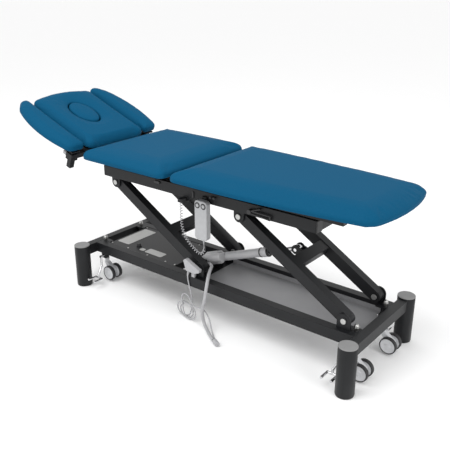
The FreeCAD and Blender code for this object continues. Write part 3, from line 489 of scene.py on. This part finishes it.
# ---- Casters and their pedals ----
# Twin wheels with light moulded discs and black tread rings, on grey swivel necks. Plated stems
# pass through the base and end in domed nuts; a chrome two-pronged pedal works each end.
caster_grey, tree, shader = finish_of("moulded_light_grey_nylon", "#CDCED0", {"Roughness": 0.4, "IOR": 1.53})
mottle(tree, shader, "#C4C5C8", "#D5D6D8", 10.0)
relief(tree, shader, 0.7, 0.02, 0.15)
tread, tree, shader = finish_of("black_tread_rubber", "#202022", {"Roughness": 0.62, "IOR": 1.5})
mottle(tree, shader, "#1A1A1C", "#28282A", 6.0)
relief(tree, shader, 0.8, 0.04, 0.3)
CASTER_X, CASTER_Y, CASTER_TRAIL = 0.716, 0.126, 0.038
HUB_Z = 0.0405
WHEEL_OFFSET = 0.0225
NUT_SEAT = 0.2235
for end, way in (("head", -1), ("foot", 1)):
    dress("caster_carriage_" + end, zinc, 1.0)
    dress("caster_pedals_" + end, bright_steel, 1.0)
    for side, hand in (("near", -1), ("far", 1)):
        dress("caster_fork_%s_%s" % (end, side), caster_grey, 1.0)
        hub = Vector((way * CASTER_X + CASTER_TRAIL, hand * CASTER_Y, HUB_Z))
        discs, treads = bmesh.new(), bmesh.new()
        for face in (-1, 1):
            middle = hub + Vector((0, face * WHEEL_OFFSET, 0))
            turned_piece(discs, middle, (0, face, 0), [
                (-0.0095, 0), (-0.0095, 0.030), (-0.006, 0.0328), (0.006, 0.0328), (0.0088, 0.0318),
                (0.0092, 0.028), (0.0075, 0.025), (0.0072, 0.013), (0.0088, 0.0115), (0.0094, 0.008),
                (0.0097, 0)])
            turned_piece(treads, middle, (0, face, 0), [
                (-0.0098, 0.0329), (-0.0098, 0.0350), (-0.0078, 0.0370), (-0.002, 0.0375), (0.002, 0.0375),
                (0.0078, 0.0370), (0.0098, 0.0350), (0.0098, 0.0329), (-0.0098, 0.0329)])
        turned_piece(discs, hub, (0, 1, 0), [(-0.016, 0), (-0.016, 0.0049), (0.016, 0.0049), (0.016, 0)], 24)
        wheel = mesh_piece("wheel_discs_%s_%s" % (end, side), caster_grey, discs)
        ring = mesh_piece("wheel_treads_%s_%s" % (end, side), tread, treads)
        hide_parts("caster_wheels_%s_%s" % (end, side))
        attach(wheel, "wheels_%s_%s" % (end, side))
        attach(ring, "wheels_%s_%s" % (end, side))
    nut = bmesh.new()
    turned_piece(nut, (0, 0, 0), (0, 0, 1), [
        (0, 0), (0, 0.010), (0.0015, 0.0105), (0.005, 0.0095), (0.009, 0.0065), (0.011, 0.003),
        (0.0115, 0)], 28)
    nut_shape = mesh_piece("domed_nut", zinc, nut)
    nut_places = [(way * CASTER_X, y, NUT_SEAT) for y in (-CASTER_Y, CASTER_Y)]
    planted("domed_nuts_" + end, "carriage_" + end, zinc, nut_places, nut_shape)
    bpy.data.objects.remove(nut_shape)

# ---- Top frame ----
# Charcoal rails and cross tubes with plated pivot bolts, closed at their ends by push-in plugs. Small
# black clips sit on the outside of the near rail.
dress("top_side_rails", powder_coat, 2.0)
dress("top_cross_members", powder_coat, 1.0)
dress("top_lugs", powder_coat, 0.8)
dress("top_pivot_pins", zinc, 1.2)
dress("leg_release_lever", black_abs, 0.5)
END_PLUG = (0.006, 0.040, 0.050)
RAIL_MIDDLE_Y, RAIL_MIDDLE_Z = 0.155, 0.607
plugs = bmesh.new()
for x, out in ((-0.630, -1), (0.540, 1)):
    for y in (-RAIL_MIDDLE_Y, RAIL_MIDDLE_Y):
        made = bmesh.ops.create_cube(plugs, size=1.0)["verts"]
        bmesh.ops.scale(plugs, verts=made, vec=END_PLUG)
        bmesh.ops.translate(plugs, verts=made, vec=(x + out * END_PLUG[0] / 2, y, RAIL_MIDDLE_Z))
bmesh.ops.bevel(plugs, geom=plugs.edges[:], offset=0.0018, segments=3, affect="EDGES")
rail_plugs = mesh_piece("rail_end_plugs", black_abs, plugs)
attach(rail_plugs, "top_frame")

RAIL_FACE_Y = -0.175
trims = bmesh.new()
for x0, x1, y0, z0, z1 in (
        (-0.299, -0.265, -0.181, 0.613, 0.625),
        (-0.075, -0.065, -0.179, 0.591, 0.620)):
    made = bmesh.ops.create_cube(trims, size=1.0)["verts"]
    bmesh.ops.scale(trims, verts=made, vec=(x1 - x0, RAIL_FACE_Y - y0, z1 - z0))
    bmesh.ops.translate(trims, verts=made, vec=((x0 + x1) / 2, (y0 + RAIL_FACE_Y) / 2, (z0 + z1) / 2))
bmesh.ops.bevel(trims, geom=trims.edges[:], offset=0.0012, segments=2, affect="EDGES")
for x in (0.034, 0.053):
    turned_piece(trims, (x, -0.174, 0.6175), (0, -1, 0), [
        (0, 0), (0, 0.003), (0.011, 0.003), (0.012, 0.0055), (0.0145, 0.0055), (0.0155, 0.004),
        (0.0155, 0)], 24)
rail_trims = mesh_piece("rail_clips", black_abs, trims)
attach(rail_trims, "top_frame")

# ---- Handset ----
# Light grey ABS shell and buttons with black button surrounds, a painted hook, and a ribbed strain
# relief where the curly cord leaves.
handset_abs, tree, shader = finish_of("moulded_light_grey_abs", "#A3A4A6", {"Roughness": 0.42, "IOR": 1.54})
mottle(tree, shader, "#9B9C9E", "#ABACAE", 18.0)
relief(tree, shader, 0.6, 0.02, 0.2)
dress("handset", handset_abs, 1.0)
dress("handset_hook", powder_coat, 0.6)
for name in ("up_button", "down_button"):
    dress(name, handset_abs, 0.3)
surrounds = bmesh.new()
for x in (-0.0185, 0.0135):
    turned_piece(surrounds, (x, -0.209, 0.578), (0, -1, 0), [
        (-0.004, 0.0084), (0.0004, 0.0084), (0.0012, 0.0090), (0.0012, 0.0128), (0.0002, 0.0137),
        (-0.004, 0.0137), (-0.004, 0.0084)], 40)
button_surrounds = mesh_piece("button_surrounds", black_abs, surrounds)
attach(button_surrounds, "top_frame")
sleeve_bm = bmesh.new()
turned_piece(sleeve_bm, (0.003, -0.196, 0.4225), (0.05, 0, -1), [
    (0, 0), (0, 0.0042), (0.004, 0.0040), (0.005, 0.0030), (0.006, 0.0030), (0.007, 0.0037),
    (0.010, 0.0035), (0.011, 0.0027), (0.012, 0.0027), (0.013, 0.0032), (0.017, 0.0028), (0.017, 0)], 24)
handset_relief = mesh_piece("handset_strain_relief", handset_abs, sleeve_bm)
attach(handset_relief, "top_frame")

# ---- Upholstery ----
# Foam on a dark-lined board, covered with blue artificial leather that is pulled round the edges
# and stapled below. The cover is let out by air pressure over the foam, so that it crowns softly.
vinyl, tree, shader = finish_of("blue_artificial_leather", "#0B4A69", {
    "Roughness": 0.6, "IOR": 1.5, "Specular IOR Level": 0.03})
mottle(tree, shader, "#074161", "#105373", 2.6, 4.0)
relief(tree, shader, 1.5, 0.12, 0.35, "ShaderNodeTexVoronoi")
lining, tree, shader = finish_of("black_lining_board", "#1A1A1B", {"Roughness": 0.8, "IOR": 1.45})
mottle(tree, shader, "#151516", "#202022", 5.0)
relief(tree, shader, 1.2, 0.05, 0.3)
HEAD_TILT = math.radians(20.5)
LEVEL = Vector((0, 0, 1))
TILTED = Vector((math.sin(HEAD_TILT), 0, math.cos(HEAD_TILT)))
SWELL_CAP = 0.006
BROAD_CROWN = (0.16, 0.024)
SMALL_CROWN = (0.06, 0.011)
PLUG_CROWN = (0.03, 0.004)
COVER_INSET = 0.0022
STAPLED_BAND = 0.006
TOP_SPARE = 0.003
AIR_STEPS = 12
BOARD_THICKNESS = 0.006


def crowned(points, normals, square_up, reach, depth):
    """Lowers the top of a pad towards its outline, so that the stuffing reads as a soft crown."""
    square_up = np.array(square_up)
    height = points @ square_up
    low, high = height.min(), height.max()
    plan = points - height[:, None] * square_up
    side = np.nonzero(np.abs(normals @ square_up) < 0.35)[0]
    tree = KDTree(len(side))
    for place, index in enumerate(side):
        tree.insert(plan[index], place)
    tree.balance()
    inset = np.array([tree.find(point)[2] for point in plan])
    fall = depth * (1 - np.minimum(1.0, inset / reach)) ** 2
    share = np.clip((height - low) / (high - low), 0, 1)
    return points - (fall * share)[:, None] * square_up


def upholstered(cad_name, body, square_up, voxel, crown):
    """A stuffed cover in place of a plain pad: remeshed, softened, crowned, swollen and capped."""
    source = nodes[cad_name]
    bm = bmesh.new()
    bm.from_mesh(source.data)
    bmesh.ops.remove_doubles(bm, verts=bm.verts, dist=0.00001)
    piece = mesh_piece(cad_name + "_cover", vinyl, bm)
    remesh = piece.modifiers.new("even_faces", "REMESH")
    remesh.mode = "VOXEL"
    remesh.voxel_size = voxel
    soften = piece.modifiers.new("soft_edges", "SMOOTH")
    soften.factor = 0.5
    soften.iterations = 6
    even = bpy.data.meshes.new_from_object(piece.evaluated_get(bpy.context.evaluated_depsgraph_get()))
    piece.modifiers.clear()
    piece.data = even
    count = len(even.vertices)
    start = np.zeros(count * 3)
    normal = np.zeros(count * 3)
    even.vertices.foreach_get("co", start)
    even.vertices.foreach_get("normal", normal)
    start, normal = start.reshape(-1, 3), normal.reshape(-1, 3)
    start = crowned(start - normal * COVER_INSET, normal, square_up, *crown)
    height = start @ np.array(square_up)
    low, high = height.min(), height.max()
    even.vertices.foreach_set("co", start.ravel())
    stapled = piece.vertex_groups.new(name="stapled")
    stapled.add([int(i) for i in np.nonzero(height < low + STAPLED_BAND)[0]], 1.0, "REPLACE")
    cloth = piece.modifiers.new("cover", "CLOTH")
    cloth.settings.quality = 4
    cloth.settings.mass = 0.25
    cloth.settings.use_pressure = True
    cloth.settings.uniform_pressure_force = 4.0
    cloth.settings.effector_weights.gravity = 0.0
    cloth.settings.vertex_group_mass = "stapled"
    cloth.collision_settings.use_collision = False
    scene = bpy.context.scene
    for step in range(1, AIR_STEPS + 1):
        scene.frame_set(step)
    even = bpy.data.meshes.new_from_object(piece.evaluated_get(bpy.context.evaluated_depsgraph_get()))
    piece.modifiers.clear()
    piece.data = even
    scene.frame_set(1)
    end = np.zeros(count * 3)
    even.vertices.foreach_get("co", end)
    moved = end.reshape(-1, 3) - start
    size = np.linalg.norm(moved, axis=1)[:, None]
    moved *= np.minimum(1.0, SWELL_CAP / np.maximum(size, 1e-9))
    start = start + moved
    over = np.maximum(0.0, start @ np.array(square_up) - (high + TOP_SPARE))
    start -= over[:, None] * np.array(square_up)
    even.vertices.foreach_set("co", start.ravel())
    even.materials.clear()
    even.materials.append(vinyl)
    even.polygons.foreach_set("use_smooth", [True] * len(even.polygons))
    even.update()
    finer = piece.modifiers.new("finer", "SUBSURF")
    finer.levels = finer.render_levels = 1
    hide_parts(cad_name)
    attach(piece, body)


def lining_board(cad_name, body, square_up):
    """The stapled board below a pad: its flat underside, thickened upward into the foam."""
    source = nodes[cad_name]
    bm = bmesh.new()
    bm.from_mesh(source.data)
    bmesh.ops.remove_doubles(bm, verts=bm.verts, dist=0.00001)
    bm.normal_update()
    low = min(v.co.dot(square_up) for v in bm.verts)
    others = [f for f in bm.faces
              if f.normal.dot(square_up) > -0.999 or f.calc_center_median().dot(square_up) > low + 0.0005]
    bmesh.ops.delete(bm, geom=others, context="FACES")
    bmesh.ops.dissolve_limit(bm, angle_limit=math.radians(1), verts=bm.verts, edges=bm.edges)
    lifted = bmesh.ops.extrude_face_region(bm, geom=bm.faces[:])
    top = [v for v in lifted["geom"] if isinstance(v, bmesh.types.BMVert)]
    bmesh.ops.translate(bm, verts=top, vec=square_up * BOARD_THICKNESS)
    board = mesh_piece(cad_name + "_board", lining, bm)
    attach(board, body)


for cad_name, body, square_up, voxel, crown in (
        ("mid_pad", "top_frame", LEVEL, 0.008, BROAD_CROWN),
        ("leg_pad", "leg_section", LEVEL, 0.009, BROAD_CROWN),
        ("head_pad", "head_section", TILTED, 0.0065, SMALL_CROWN),
        ("face_plug", "face_plug", TILTED, 0.005, PLUG_CROWN),
        ("armrest_pad_near", "armrest_near", TILTED, 0.006, SMALL_CROWN),
        ("armrest_pad_far", "armrest_far", TILTED, 0.006, SMALL_CROWN)):
    upholstered(cad_name, body, square_up, voxel, crown)
    lining_board(cad_name, body, square_up)

# ---- Leg and head sections ----
# Painted bars below the pads, gas springs with black barrels and bright rods, black square armrest
# posts and star knobs that clamp them.
dress("leg_frame", powder_coat, 1.0)
dress("head_frame", powder_coat, 1.0)
barrel_paint, tree, shader = finish_of("black_gloss_barrel", "#141415", {
    "Roughness": 0.28, "IOR": 1.5, "Coat Weight": 0.3})
mottle(tree, shader, "#101011", "#1A1A1B", 30.0)
relief(tree, shader, 2.0, 0.02, 0.08)
for end in ("leg", "head"):
    dress(end + "_spring_cylinder", barrel_paint, 1.0)
    dress(end + "_spring_rod", bright_steel, 0.3)
for side in ("near", "far"):
    dress("armrest_post_" + side, powder_coat, 1.0)
    dress("clamp_knob_" + side, handset_abs, 1.0)
